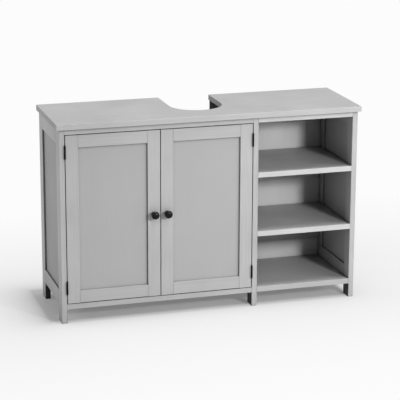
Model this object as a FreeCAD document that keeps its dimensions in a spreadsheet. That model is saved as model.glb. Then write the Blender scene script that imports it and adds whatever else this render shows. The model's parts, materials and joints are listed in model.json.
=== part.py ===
import FreeCAD, Part
import math
import os
import re
import Sketcher
from FreeCAD import Placement, Rotation, Vector

# Under-sink vanity cabinet: a sink bay behind two framed doors and an open bay with two shelves,
# standing on the feet of six posts, under one top board with a U-shaped cut-out for the pipes.
# Row frame: millimetres, X to the right, Y from the front to the wall, Z up, origin on the floor
# under the middle of the whole outline, knobs included.

# Driving sizes
SIZES = {
    # whole cabinet
    "overall_height": 600,
    "carcass_width": 914,
    "carcass_depth": 280,
    "board": 16,
    "top_thickness": 16,
    "top_overhang": 8,
    "leg_height": 43,
    "shelf_bay_width": 297,
    "arris": 0.8,
    "top_arris": 1.5,
    # upright frames: posts with legs, rails between them, a floating panel
    "post_depth": 42,
    "frame_bottom_rail_height": 42,
    "frame_bottom_rail_up": 52,
    "frame_top_rail_height": 49,
    "panel_thickness": 5,
    "panel_play": 0.2,
    "tongue_length": 8,
    "groove_relief": 0.5,
    # cut-out in the top and opening in the back for the pipes
    "cutout_radius": 80,
    "cutout_from_divider": 54,
    "cutout_front_edge": 75,
    "pipe_opening_width": 160,
    "pipe_opening_depth": 320,
    "pipe_opening_corner": 25,
    # back panels, in grooves of the rear posts
    "back_thickness": 4,
    "back_inset": 10,
    "back_groove_depth": 5,
    "back_edge_play": 0.5,
    # rails under the top, and shelves
    "rail_depth": 42,
    "lower_shelf_up": 218,
    "upper_shelf_up": 400,
    "stretcher_up": 124,
    "stretcher_height": 42,
    # doors
    "door_gap": 2,
    "door_thickness": 16,
    "door_stile_width": 38,
    "door_rail_height": 37,
    # butt hinges
    "hinge_length": 40,
    "hinge_from_door_end": 28.5,
    "leaf_gap": 0.2,
    "leaf_depth": 14,
    "barrel_radius": 2.2,
    "barrel_clearance": 0.3,
    "knuckle_gap": 0.3,
    "pin_radius": 1.1,
    "pin_play": 0.05,
    "pin_end": 0.6,
    # knobs
    "knob_reach": 25,
    "knob_foot_radius": 7.8,
    "knob_foot_edge": 1.6,
    "knob_neck_radius": 4.6,
    "knob_neck_end": 10,
    "knob_head_radius": 12,
    "knob_rim_start": 15.2,
    "knob_rim_end": 18.4,
    "knob_shoulder_radius": 9.5,
    "knob_shoulder_reach": 22.6,
    "knob_crown_radius": 5,
    "knob_screw_radius": 2,
    "knob_screw_grip": 10,
    "knob_screw_head_radius": 4,
    "knob_screw_head_height": 2.4,
    # magnetic catches
    "catch_length": 42,
    "catch_depth": 15,
    "catch_height": 13,
    "catch_wall": 2,
    "catch_from_meeting_edge": 60,
    "magnet_length": 26,
    "magnet_height": 7,
    "magnet_proud": 0.7,
    "strike_length": 30,
    "strike_height": 11,
    "strike_thickness": 1,
    "strike_gap": 0.3,
    "strike_from_door_top": 1.5,
    # joinery: loose tenons in mortises
    "fit": 0.1,
    "tenon_thickness": 5,
    "tenon_margin": 2.5,
    "tenon_in_post": 10,
    "tenon_in_board": 20,
    "top_tenon_width": 36,
    "top_tenon_in_rail": 14,
    "top_tenon_in_top": 10,
    "top_tenon_from_post": 20,
    # one overrun for all cuts, and the difference below which two lengths count as equal
    "overrun": 1,
    "hair": 0.001,
}

# Places and sizes that follow from the driving ones
PLACES = {
    "left_side": "-carcass_width / 2",
    "front_face": "(knob_reach - carcass_depth) / 2",
    "carcass_top": "overall_height - top_thickness",
    "sink_bay_width": "carcass_width - 3 * board - shelf_bay_width",
    "sink_bay_left": "left_side + board",
    "divider_left": "sink_bay_left + sink_bay_width",
    "shelf_bay_left": "divider_left + board",
    "right_frame_left": "shelf_bay_left + shelf_bay_width",
    "bay_floor": "leg_height + board",
    "bay_ceiling": "carcass_top - board",
    "back_face": "carcass_depth - back_inset - back_thickness",
    "groove_width": "panel_thickness + 2 * panel_play",
    "groove_depth": "tongue_length + groove_relief",
    "frame_opening": "carcass_depth - 2 * post_depth",
    "door_width": "(sink_bay_width - 3 * door_gap) / 2",
    "door_height": "bay_ceiling - bay_floor - 2 * door_gap",
    "door_foot": "bay_floor + door_gap",
    "left_door_left": "sink_bay_left + door_gap",
    "right_door_left": "left_door_left + door_width + door_gap",
    "leaf_thickness": "(door_gap - leaf_gap) / 2",
    "left_pin_x": "sink_bay_left + door_gap / 2",
    "right_pin_x": "divider_left - door_gap / 2",
    "barrel_forward": "barrel_radius + barrel_clearance",
    "knuckle_length": "(hinge_length - 2 * knuckle_gap) / 3",
    "lower_hinge_up": "door_foot + hinge_from_door_end",
    "upper_hinge_up": "door_foot + door_height - hinge_from_door_end - hinge_length",
    "knob_up": "door_foot + door_height / 2",
    "left_knob_x": "left_door_left + door_width - door_stile_width / 2",
    "right_knob_x": "right_door_left + door_stile_width / 2",
    "cutout_x": "divider_left - cutout_from_divider - cutout_radius",
    # tenons lie in the wood that the grooves leave
    "rear_post_depth": "carcass_depth - post_depth",
    "rear_tenon_depth": "rear_post_depth + groove_depth + tenon_margin",
    "tenon_width": "back_face - panel_play - tenon_margin - rear_tenon_depth",
    "front_tenon_depth": "(post_depth - groove_depth - tenon_width) / 2",
    "tenon_up": "(board - tenon_thickness) / 2",
    # the stretcher stands on edge against the back panel, and so do its tenons
    "stretcher_depth": "back_face - board",
    "stretcher_tenon_width": "stretcher_height - 4 * tenon_margin",
}

doc = FreeCAD.newDocument("vanity_cabinet")
sheet = doc.addObject("Spreadsheet::Sheet", "Sizes")
for row, (alias, content) in enumerate([*SIZES.items(), *PLACES.items()], start=1):
    sheet.set(f"A{row}", alias)
    sheet.set(f"B{row}", f"={content}" if alias in PLACES else str(content))
    sheet.setAlias(f"B{row}", alias)
doc.recompute()

TURNED = Rotation(Vector(0, 0, 1), 90)
HALF_TURNED = Rotation(Vector(0, 0, 1), 180)
STRAIGHT = Rotation()
ALONG_X = Rotation(Vector(0, 1, 0), 90)
ALONG_Y = Rotation(Vector(1, 0, 0), -90)

pieces = []


def in_sheet(text):
    """The expression with the sheet's name before each of its aliases."""
    return re.sub(r"[a-z][a-z_]+", r"Sizes.\g<0>", text)


def value(text):
    """The number that an expression on the sheet stands for now."""
    return float(sheet.evalExpression(in_sheet(text)))


def bind(thing, **expressions):
    """Ties properties of an object to the sheet."""
    for name, text in expressions.items():
        thing.setExpression(name, in_sheet(text))


def put(thing, place, rotation=STRAIGHT):
    """Turns an object, and ties the three coordinates of its place to the sheet."""
    thing.Placement = Placement(Vector(), rotation)
    for axis, text in zip("xyz", place):
        thing.setExpression(f"Placement.Base.{axis}", in_sheet(text))


def keep(thing, label):
    """Marks an object as a sub-part of the cabinet under its own name."""
    thing.Label = label
    pieces.append(thing)
    return thing


def new_body(label, place, rotation=STRAIGHT):
    """A body of its own for one piece, at its place in the cabinet."""
    body = doc.addObject("PartDesign::Body", label)
    put(body, place, rotation)
    return keep(body, label)


def block(body, name, size, at=("0", "0", "0"), cut=False):
    """Adds a box to a body, or cuts one out of it."""
    kind = "Subtractive" if cut else "Additive"
    box = body.newObject(f"PartDesign::{kind}Box", name)
    bind(box, Length=size[0], Width=size[1], Height=size[2])
    put(box, at)
    return box


def bore(body, name, radius, length, at, rotation=STRAIGHT):
    """Cuts a round hole out of a body, starting at a point and running along the turned Z axis."""
    hole = body.newObject("PartDesign::SubtractiveCylinder", name)
    bind(hole, Radius=radius, Height=length)
    put(hole, at, rotation)
    return hole


def level_with(number, *texts):
    """Whether a number equals one of the lengths that the texts stand for."""
    return any(abs(number - value(text)) < value("hair") for text in texts)


def ease(body, radius, wanted, kind="Chamfer"):
    """Eases the edges of a body's last feature that the test wants, by the edge and its middle."""
    base = body.Tip
    doc.recompute()
    names = [
        f"Edge{number}"
        for number, edge in enumerate(base.Shape.Edges, start=1)
        if wanted(edge, edge.valueAt((edge.FirstParameter + edge.LastParameter) / 2))
    ]
    if not names:
        raise RuntimeError(f"{body.Name} has no edge to ease")
    eased = body.newObject(f"PartDesign::{kind}", "eased_edges")
    eased.Base = (base, names)
    bind(eased, **{"Size" if kind == "Chamfer" else "Radius": radius})


def new_sketch(body, role, name):
    """A sketch on one of a body's own origin planes."""
    plane = next(f for f in body.Origin.OriginFeatures if f.Role == role)
    sketch = body.newObject("Sketcher::SketchObject", name)
    sketch.AttachmentSupport = (plane, [""])
    sketch.MapMode = "FlatFace"
    return sketch


def draw(sketch, corners):
    """Draws a closed outline whose corners, and whose arcs' radii, follow the sheet.

    A corner is (x, y), or (x, y, turn, radius) where an arc under a half circle leads on from it,
    turning "left" or "right".
    """
    points = [Vector(value(c[0]), value(c[1])) for c in corners]
    ends = []
    for number, corner in enumerate(corners):
        start, end = points[number], points[(number + 1) % len(points)]
        if len(corner) == 2:
            sketch.addGeometry(Part.LineSegment(start, end))
            ends.append((1, 2))
            continue
        radius = value(corner[3])
        chord = end - start
        side = Vector(-chord.y, chord.x).normalize() * (1 if corner[2] == "left" else -1)
        centre = (start + end) / 2 + side * math.sqrt(radius**2 - (chord.Length / 2) ** 2)
        first, last = (start, end) if corner[2] == "left" else (end, start)
        angles = [math.atan2((p - centre).y, (p - centre).x) for p in (first, last)]
        circle = Part.Circle(centre, Vector(0, 0, 1), radius)
        sketch.addGeometry(Part.ArcOfCircle(circle, angles[0], angles[1]))
        ends.append((1, 2) if corner[2] == "left" else (2, 1))
    for number, corner in enumerate(corners):
        before = number - 1 if number else len(corners) - 1
        sketch.addConstraint(
            Sketcher.Constraint("Coincident", before, ends[before][1], number, ends[number][0])
        )
        for kind, text, axis in (("DistanceX", corner[0], -2), ("DistanceY", corner[1], -1)):
            if text == "0":
                sketch.addConstraint(
                    Sketcher.Constraint("PointOnObject", number, ends[number][0], axis)
                )
                continue
            at = Sketcher.Constraint(kind, -1, 1, number, ends[number][0], value(text))
            sketch.setExpression(f"Constraints[{sketch.addConstraint(at)}]", in_sheet(text))
        if len(corner) > 2:
            bend = Sketcher.Constraint("Radius", number, value(corner[3]))
            sketch.setExpression(f"Constraints[{sketch.addConstraint(bend)}]", in_sheet(corner[3]))


def solid(kind, place, rotation=STRAIGHT, **sizes):
    """A Part primitive with its sizes and place tied to the sheet."""
    shape = doc.addObject(f"Part::{kind}", kind.lower())
    bind(shape, **sizes)
    put(shape, place, rotation)
    return shape


def joined(*shapes):
    """Several touching primitives as one solid."""
    fused = doc.addObject("Part::MultiFuse", "fused")
    fused.Shapes = list(shapes)
    return fused


def without(base, tool):
    """A primitive with another cut out of it."""
    cut = doc.addObject("Part::Cut", "cut")
    cut.Base = base
    cut.Tool = tool
    return cut


def group(label, members):
    """Identical fasteners or fittings as separate solids under one name."""
    compound = doc.addObject("Part::Compound", label)
    compound.Links = members
    return keep(compound, label)


# Framed panels: the doors and the three upright frames share one construction. In a piece's own
# frame X runs along the rails, Y through the thickness and Z up.
def stile(label, place, rotation, width, thickness, height, groove_start, groove_on_right):
    """An upright with a stopped groove for the rails' tongues and the panel."""
    body = new_body(label, place, rotation)
    block(body, "blank", (width, thickness, height))

    def long_corner(edge, middle):
        return (
            level_with(middle.x, "0", width)
            and level_with(middle.y, "0", thickness)
            and level_with(edge.Length, height)
        )

    ease(body, "arris", long_corner)
    groove_x = f"{width} - groove_depth" if groove_on_right else "-overrun"
    block(
        body,
        "panel_groove",
        ("groove_depth + overrun", "groove_width", f"{height} - ({groove_start}) + overrun"),
        (groove_x, f"({thickness} - groove_width) / 2", groove_start),
        cut=True,
    )
    return body


def rail(label, place, rotation, length, thickness, height, groove_on_top):
    """A rail with a tongue at each end and a groove for the panel along one edge."""
    body = new_body(label, place, rotation)
    block(body, "blank", (length, thickness, height))

    def long_corner(edge, middle):
        return (
            level_with(middle.y, "0", thickness)
            and level_with(middle.z, "0", height)
            and level_with(edge.Length, length)
        )

    ease(body, "arris", long_corner)
    tongue_up = "arris" if groove_on_top else "groove_depth"
    block(
        body,
        "tongues",
        (f"{length} + 2 * tongue_length", "panel_thickness", f"{height} - groove_depth - arris"),
        ("-tongue_length", f"({thickness} - panel_thickness) / 2", tongue_up),
    )
    block(
        body,
        "panel_groove",
        (f"{length} + 2 * (tongue_length + overrun)", "groove_width", "groove_depth + overrun"),
        (
            "-tongue_length - overrun",
            f"({thickness} - groove_width) / 2",
            f"{height} - groove_depth" if groove_on_top else "-overrun",
        ),
        cut=True,
    )
    return body


def floating_panel(label, place, rotation, width, height):
    """A thin panel that reaches into the grooves on all four sides."""
    body = new_body(label, place, rotation)
    size = (f"{width} + 2 * tongue_length", "panel_thickness", f"{height} + 2 * tongue_length")
    block(body, "sheet", size)


def upright_frame(side, side_x):
    """One of the three frames that carry everything: posts with legs, two rails and a panel."""
    x = f"{side_x} + board"
    post = ("post_depth", "board", "carcass_top", "frame_bottom_rail_up")
    made = {}
    for name, depth, groove_on_right in (
        ("front_post", "0", True),
        ("rear_post", "rear_post_depth", False),
    ):
        place = (x, f"front_face + {depth}", "0")
        made[name] = stile(f"{side}_{name}", place, TURNED, *post, groove_on_right)
    between = "front_face + post_depth"
    for name, up, height, groove_on_top in (
        ("bottom_rail", "frame_bottom_rail_up", "frame_bottom_rail_height", True),
        ("top_rail", "carcass_top - frame_top_rail_height", "frame_top_rail_height", False),
    ):
        made[name] = rail(
            f"{side}_{name}",
            (x, between, up),
            TURNED,
            "frame_opening",
            "board",
            height,
            groove_on_top,
        )
    panel_foot = "frame_bottom_rail_up + frame_bottom_rail_height"
    floating_panel(
        f"{side}_side_panel" if side != "divider" else "divider_panel",
        (
            f"{side_x} + (board + panel_thickness) / 2",
            f"{between} - tongue_length",
            f"{panel_foot} - tongue_length",
        ),
        TURNED,
        "frame_opening",
        f"(carcass_top - frame_top_rail_height - ({panel_foot}))",
    )
    return made


FRAME_SIDES = {"left": "left_side", "divider": "divider_left", "right": "right_frame_left"}
frames = {side: upright_frame(side, side_x) for side, side_x in FRAME_SIDES.items()}

# Where the posts start, from the cabinet's front
POST_STARTS = {"front_post": "0", "rear_post": "rear_post_depth"}
RIGHT_FACE = "right"
LEFT_FACE = "left"
THROUGH = "through"


# A loose tenon's size from front to back and its height, where it lies flat and on edge
LEVEL_TENON = ("tenon_width", "tenon_thickness")
UPRIGHT_TENON = ("tenon_thickness", "stretcher_tenon_width")


def post_mortise(side, post, depth, up, face, tenon=LEVEL_TENON):
    """A mortise for a loose tenon, at a depth from the cabinet's front and a height."""
    length = "tenon_in_post + fit"
    start = f"board - ({length})" if face == LEFT_FACE else "-overrun"
    reach = "board + 2 * overrun" if face == THROUGH else f"{length} + overrun"
    block(
        frames[side][post],
        "mortise",
        (f"{tenon[0]} + 2 * fit", reach, f"{tenon[1]} + 2 * fit"),
        (f"{depth} - fit - ({POST_STARTS[post]})", start, f"{up} - fit"),
        cut=True,
    )


# Grooves of the rear posts for the back panels
def back_groove(side, face):
    """A stopped groove down a rear post's inner face, for the edge of a back panel."""
    start = "-overrun" if face == RIGHT_FACE else "board - back_groove_depth"
    block(
        frames[side]["rear_post"],
        "back_groove",
        ("back_thickness + 2 * panel_play", "back_groove_depth + overrun", "carcass_top"),
        ("back_face - rear_post_depth - panel_play", start, "leg_height"),
        cut=True,
    )


for side, face in (
    ("left", RIGHT_FACE),
    ("divider", LEFT_FACE),
    ("divider", RIGHT_FACE),
    ("right", LEFT_FACE),
):
    back_groove(side, face)


# Bottom boards, shelves and flat rails, held at their ends by loose tenons in the posts
BAYS = {
    "sink_bay": ("sink_bay_left", "sink_bay_width"),
    "shelf_bay": ("shelf_bay_left", "shelf_bay_width"),
}
TENON_DEPTHS = {"front_post": "front_tenon_depth", "rear_post": "rear_tenon_depth"}


def level_board(label, place, width, depth, height="board"):
    """A board between two frames, with eased front edges."""
    body = new_body(label, place)
    block(body, "blank", (width, depth, height))

    def front_arris(edge, middle):
        return level_with(middle.y, "0") and level_with(edge.Length, width)

    ease(body, "arris", front_arris)
    return body


def end_mortises(body, width, depth, up="tenon_up", tenon=LEVEL_TENON):
    """The mortises in both ends of a board, at a depth from its front edge."""
    for start in ("-overrun", f"{width} - tenon_in_board - fit"):
        block(
            body,
            "mortise",
            ("tenon_in_board + fit + overrun", f"{tenon[0]} + 2 * fit", f"{tenon[1]} + 2 * fit"),
            (start, f"{depth} - fit", f"{up} - fit"),
            cut=True,
        )


for bay, (left, width) in BAYS.items():
    bottom = level_board(f"{bay}_bottom", (left, "front_face", "leg_height"), width, "back_face")
    front_rail = level_board(
        f"{bay}_front_rail", (left, "front_face", "bay_ceiling"), width, "rail_depth"
    )
    end_mortises(bottom, width, TENON_DEPTHS["front_post"])
    end_mortises(bottom, width, TENON_DEPTHS["rear_post"])
    end_mortises(front_rail, width, TENON_DEPTHS["front_post"])

SHELVES = {"lower_shelf": "lower_shelf_up", "upper_shelf": "upper_shelf_up"}
for label, up in SHELVES.items():
    shelf = level_board(label, ("shelf_bay_left", "front_face", up), "shelf_bay_width", "back_face")
    end_mortises(shelf, "shelf_bay_width", TENON_DEPTHS["front_post"])
    end_mortises(shelf, "shelf_bay_width", TENON_DEPTHS["rear_post"])

rear_rail_start = "back_face - rail_depth"
rear_rail = level_board(
    "shelf_bay_rear_rail",
    ("shelf_bay_left", f"front_face + {rear_rail_start}", "bay_ceiling"),
    "shelf_bay_width",
    "rail_depth",
)
end_mortises(rear_rail, "shelf_bay_width", f"rear_tenon_depth - ({rear_rail_start})")

# The stretcher between the rear posts, on edge against the back panel under the lower shelf
stretcher = level_board(
    "shelf_bay_stretcher",
    ("shelf_bay_left", "front_face + stretcher_depth", "stretcher_up"),
    "shelf_bay_width",
    "board",
    "stretcher_height",
)
end_mortises(stretcher, "shelf_bay_width", "tenon_up", "2 * tenon_margin", UPRIGHT_TENON)


# Loose tenons: level ones for the boards, upright ones between the frames and the top
BOTTOM_TENONS = "leg_height + tenon_up"
RAIL_TENONS = "bay_ceiling + tenon_up"
SIDE_TENON = "tenon_in_post + tenon_in_board"
TENON_RUNS = {
    ("left", RIGHT_FACE): ("sink_bay_left - tenon_in_post", SIDE_TENON),
    ("divider", THROUGH): ("divider_left - tenon_in_board", "board + 2 * tenon_in_board"),
    ("divider", RIGHT_FACE): ("shelf_bay_left - tenon_in_post", SIDE_TENON),
    ("right", LEFT_FACE): ("right_frame_left - tenon_in_board", SIDE_TENON),
}
BOTH_BAYS = (("left", RIGHT_FACE), ("divider", THROUGH), ("right", LEFT_FACE))
SHELF_BAY = (("divider", RIGHT_FACE), ("right", LEFT_FACE))
tenons = []
for post, up, places in (
    ("front_post", BOTTOM_TENONS, BOTH_BAYS),
    ("rear_post", BOTTOM_TENONS, BOTH_BAYS),
    ("front_post", RAIL_TENONS, BOTH_BAYS),
    ("rear_post", RAIL_TENONS, SHELF_BAY),
    *((post, f"{up} + tenon_up", SHELF_BAY) for up in SHELVES.values() for post in POST_STARTS),
):
    for side, face in places:
        start, length = TENON_RUNS[side, face]
        post_mortise(side, post, TENON_DEPTHS[post], up, face)
        tenons.append(
            solid(
                "Box",
                (start, f"front_face + {TENON_DEPTHS[post]}", up),
                Length=length,
                Width="tenon_width",
                Height="tenon_thickness",
            )
        )

stretcher_tenon_depth = "stretcher_depth + tenon_up"
stretcher_tenon_up = "stretcher_up + 2 * tenon_margin"
for side, face in SHELF_BAY:
    post_mortise(
        side, "rear_post", stretcher_tenon_depth, stretcher_tenon_up, face, tenon=UPRIGHT_TENON
    )
    start, length = TENON_RUNS[side, face]
    tenons.append(
        solid(
            "Box",
            (start, f"front_face + {stretcher_tenon_depth}", stretcher_tenon_up),
            Length=length,
            Width="tenon_thickness",
            Height="stretcher_tenon_width",
        )
    )

TOP_TENON_STARTS = (
    "post_depth + top_tenon_from_post",
    "rear_post_depth - top_tenon_from_post - top_tenon_width",
)
top_mortises = []
for side, side_x in FRAME_SIDES.items():
    for depth in TOP_TENON_STARTS:
        tenons.append(
            solid(
                "Box",
                (
                    f"{side_x} + tenon_up",
                    f"front_face + {depth}",
                    "carcass_top - top_tenon_in_rail",
                ),
                Length="tenon_thickness",
                Width="top_tenon_width",
                Height="top_tenon_in_rail + top_tenon_in_top",
            )
        )
        block(
            frames[side]["top_rail"],
            "top_mortise",
            (
                "top_tenon_width + 2 * fit",
                "tenon_thickness + 2 * fit",
                "top_tenon_in_rail + fit + overrun",
            ),
            (
                f"{depth} - post_depth - fit",
                "tenon_up - fit",
                "frame_top_rail_height - top_tenon_in_rail - fit",
            ),
            cut=True,
        )
        top_mortises.append(
            (f"{side_x} - left_side + top_overhang + tenon_up", f"{depth} + top_overhang")
        )
group("loose_tenons", tenons)


# Top board, with the U-shaped cut-out drawn from two quarter circles
top = new_body(
    "top_board",
    ("left_side - top_overhang", "front_face - top_overhang", "carcass_top"),
)
top_outline = new_sketch(top, "XY_Plane", "top_outline")
cut_x = "cutout_x - left_side + top_overhang"
cut_y = "cutout_front_edge + top_overhang"
top_width = "carcass_width + 2 * top_overhang"
top_depth = "carcass_depth + top_overhang"
draw(
    top_outline,
    [
        ("0", "0"),
        (top_width, "0"),
        (top_width, top_depth),
        (f"{cut_x} + cutout_radius", top_depth),
        (f"{cut_x} + cutout_radius", f"{cut_y} + cutout_radius", "right", "cutout_radius"),
        (cut_x, cut_y, "right", "cutout_radius"),
        (f"{cut_x} - cutout_radius", f"{cut_y} + cutout_radius"),
        (f"{cut_x} - cutout_radius", top_depth),
        ("0", top_depth),
    ],
)
slab = top.newObject("PartDesign::Pad", "slab")
slab.Profile = top_outline
bind(slab, Length="top_thickness")
top.Tip = slab


def seen_edge(edge, middle):
    """The edges of the upper face along the front and the two sides."""
    at_side = level_with(middle.x, "0", top_width)
    return level_with(middle.z, "top_thickness") and (at_side or level_with(middle.y, "0"))


def cutout_edge(edge, middle):
    """The edges of the upper face around the cut-out."""
    inside = abs(middle.x - value(cut_x)) < value("cutout_radius + hair")
    return level_with(middle.z, "top_thickness") and inside and not level_with(middle.y, "top_arris")


ease(top, "top_arris", seen_edge, kind="Fillet")
ease(top, "arris", cutout_edge)
for x, y in top_mortises:
    block(
        top,
        "mortise",
        (
            "tenon_thickness + 2 * fit",
            "top_tenon_width + 2 * fit",
            "top_tenon_in_top + fit + overrun",
        ),
        (f"{x} - fit", f"{y} - fit", "-overrun"),
        cut=True,
    )


# Back panels: the sink bay's has an opening for the pipes under the cut-out
def back_panel(bay, opening):
    """A thin sheet in the rear posts' grooves, from the bottom board's underside to the top."""
    left, width = BAYS[bay]
    reach = "back_groove_depth - back_edge_play"
    body = new_body(
        f"{bay}_back_panel",
        (f"{left} - ({reach})", "front_face + back_face + back_thickness", "leg_height"),
    )
    outline = new_sketch(body, "XZ_Plane", "back_outline")
    full = f"{width} + 2 * ({reach})"
    height = "carcass_top - leg_height"
    corners = [("0", "0"), (full, "0"), (full, height)]
    if opening:
        middle = f"cutout_x - {left} + {reach}"
        half = "pipe_opening_width / 2"
        sill = f"{height} - pipe_opening_depth"
        bend = "pipe_opening_corner"
        corners += [
            (f"{middle} + {half}", height),
            (f"{middle} + {half}", f"{sill} + {bend}", "right", bend),
            (f"{middle} + {half} - {bend}", sill),
            (f"{middle} - {half} + {bend}", sill, "right", bend),
            (f"{middle} - {half}", f"{sill} + {bend}"),
            (f"{middle} - {half}", height),
        ]
    draw(outline, [*corners, ("0", height)])
    sheet_pad = body.newObject("PartDesign::Pad", "sheet")
    sheet_pad.Profile = outline
    bind(sheet_pad, Length="back_thickness")
    body.Tip = sheet_pad


back_panel("sink_bay", opening=True)
back_panel("shelf_bay", opening=False)


# Doors
def door(side, left, hinge_at_left):
    """A door's two stiles, two rails and panel. Gives back the meeting stile."""
    names = ("hinge", "meeting") if hinge_at_left else ("meeting", "hinge")
    right_stile = f"{left} + door_width - door_stile_width"
    stiles = {}
    for name, x, groove_on_right in ((names[0], left, True), (names[1], right_stile, False)):
        stiles[name] = stile(
            f"{side}_door_{name}_stile",
            (x, "front_face", "door_foot"),
            STRAIGHT,
            "door_stile_width",
            "door_thickness",
            "door_height",
            "0",
            groove_on_right,
        )
    length = "(door_width - 2 * door_stile_width)"
    opening_height = "(door_height - 2 * door_rail_height)"
    for name, up, groove_on_top in (
        ("bottom", "door_foot", True),
        ("top", "door_foot + door_height - door_rail_height", False),
    ):
        rail(
            f"{side}_door_{name}_rail",
            (f"{left} + door_stile_width", "front_face", up),
            STRAIGHT,
            length,
            "door_thickness",
            "door_rail_height",
            groove_on_top,
        )
    floating_panel(
        f"{side}_door_panel",
        (
            f"{left} + door_stile_width - tongue_length",
            "front_face + (door_thickness - panel_thickness) / 2",
            "door_foot + door_rail_height - tongue_length",
        ),
        STRAIGHT,
        length,
        opening_height,
    )
    return stiles["meeting"]


# Knobs: a turned mushroom head with a bevelled crown on a neck and a small foot, screwed on from
# behind
def knob(side, x, meeting_stile):
    """A knob, its screw, and the screw's hole through the meeting stile."""
    body = new_body(f"{side}_door_knob", (x, "front_face", "knob_up"), HALF_TURNED)
    profile = new_sketch(body, "XY_Plane", "profile")
    draw(
        profile,
        [
            ("0", "0"),
            ("knob_foot_radius", "0"),
            ("knob_foot_radius", "knob_foot_edge"),
            ("knob_neck_radius", "knob_foot_edge"),
            ("knob_neck_radius", "knob_neck_end"),
            ("knob_head_radius", "knob_rim_start"),
            ("knob_head_radius", "knob_rim_end"),
            ("knob_shoulder_radius", "knob_shoulder_reach"),
            ("knob_crown_radius", "knob_reach"),
            ("0", "knob_reach"),
        ],
    )
    turned = body.newObject("PartDesign::Revolution", "turned")
    turned.Profile = profile
    turned.ReferenceAxis = (profile, ["V_Axis"])
    turned.Angle = 360
    body.Tip = turned
    doc.recompute()
    bore(
        body,
        "screw_bore",
        "knob_screw_radius + fit",
        "knob_screw_grip + fit + overrun",
        ("0", "-overrun", "0"),
        ALONG_Y,
    )
    bore(
        meeting_stile,
        "knob_screw_hole",
        "knob_screw_radius + fit",
        "door_thickness + 2 * overrun",
        ("door_stile_width / 2", "-overrun", "knob_up - door_foot"),
        ALONG_Y,
    )
    shank = solid(
        "Cylinder",
        (x, "front_face - knob_screw_grip", "knob_up"),
        ALONG_Y,
        Radius="knob_screw_radius",
        Height="knob_screw_grip + door_thickness + knob_screw_head_height / 2",
    )
    head = solid(
        "Cylinder",
        (x, "front_face + door_thickness", "knob_up"),
        ALONG_Y,
        Radius="knob_screw_head_radius",
        Height="knob_screw_head_height",
    )
    keep(joined(shank, head), f"{side}_door_knob_screw")


# Butt hinges: two leaves folded into the gap, three knuckles on one pin in front of the faces
def hinge_leaf(pin_x, up, plate_x, knuckles):
    """A leaf as one solid: the plate, with plate_x its left face, and its bored knuckles."""
    parts = [
        solid(
            "Box",
            (plate_x, "front_face", up),
            Length="leaf_thickness",
            Width="leaf_depth",
            Height="hinge_length",
        )
    ]
    for number in knuckles:
        foot = f"{up} + {number} * (knuckle_length + knuckle_gap)"
        parts.append(
            solid(
                "Cylinder",
                (pin_x, "front_face - barrel_forward", foot),
                Radius="barrel_radius",
                Height="knuckle_length",
            )
        )
        parts.append(
            solid(
                "Box",
                (plate_x, "front_face - barrel_forward", foot),
                Length="leaf_thickness",
                Width="barrel_forward + overrun",
                Height="knuckle_length",
            )
        )
    pin_bore = solid(
        "Cylinder",
        (pin_x, "front_face - barrel_forward", f"{up} - overrun"),
        Radius="pin_radius + pin_play",
        Height="hinge_length + 2 * overrun",
    )
    return without(joined(*parts), pin_bore)


def hinge_pin(pin_x, up):
    """A pin that stands out a little at each end of the barrel."""
    return solid(
        "Cylinder",
        (pin_x, "front_face - barrel_forward", f"{up} - pin_end"),
        Radius="pin_radius",
        Height="hinge_length + 2 * pin_end",
    )


HINGE_FEET = ("lower_hinge_up", "upper_hinge_up")
POST_KNUCKLES = (0, 2)
DOOR_KNUCKLES = (1,)
HINGE_SETS = (
    ("left_post_hinge_leaves", "left_pin_x", "sink_bay_left", POST_KNUCKLES),
    ("left_door_hinge_leaves", "left_pin_x", "left_door_left - leaf_thickness", DOOR_KNUCKLES),
    ("divider_hinge_leaves", "right_pin_x", "divider_left - leaf_thickness", POST_KNUCKLES),
    ("right_door_hinge_leaves", "right_pin_x", "right_door_left + door_width", DOOR_KNUCKLES),
)
for label, pin_x, plate_x, knuckles in HINGE_SETS:
    group(label, [hinge_leaf(pin_x, foot, plate_x, knuckles) for foot in HINGE_FEET])
group(
    "hinge_pins",
    [hinge_pin(pin_x, foot) for pin_x in ("left_pin_x", "right_pin_x") for foot in HINGE_FEET],
)


left_meeting_stile = door("left", "left_door_left", hinge_at_left=True)
right_meeting_stile = door("right", "right_door_left", hinge_at_left=False)
knob("left", "left_knob_x", left_meeting_stile)
knob("right", "right_knob_x", right_meeting_stile)


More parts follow.
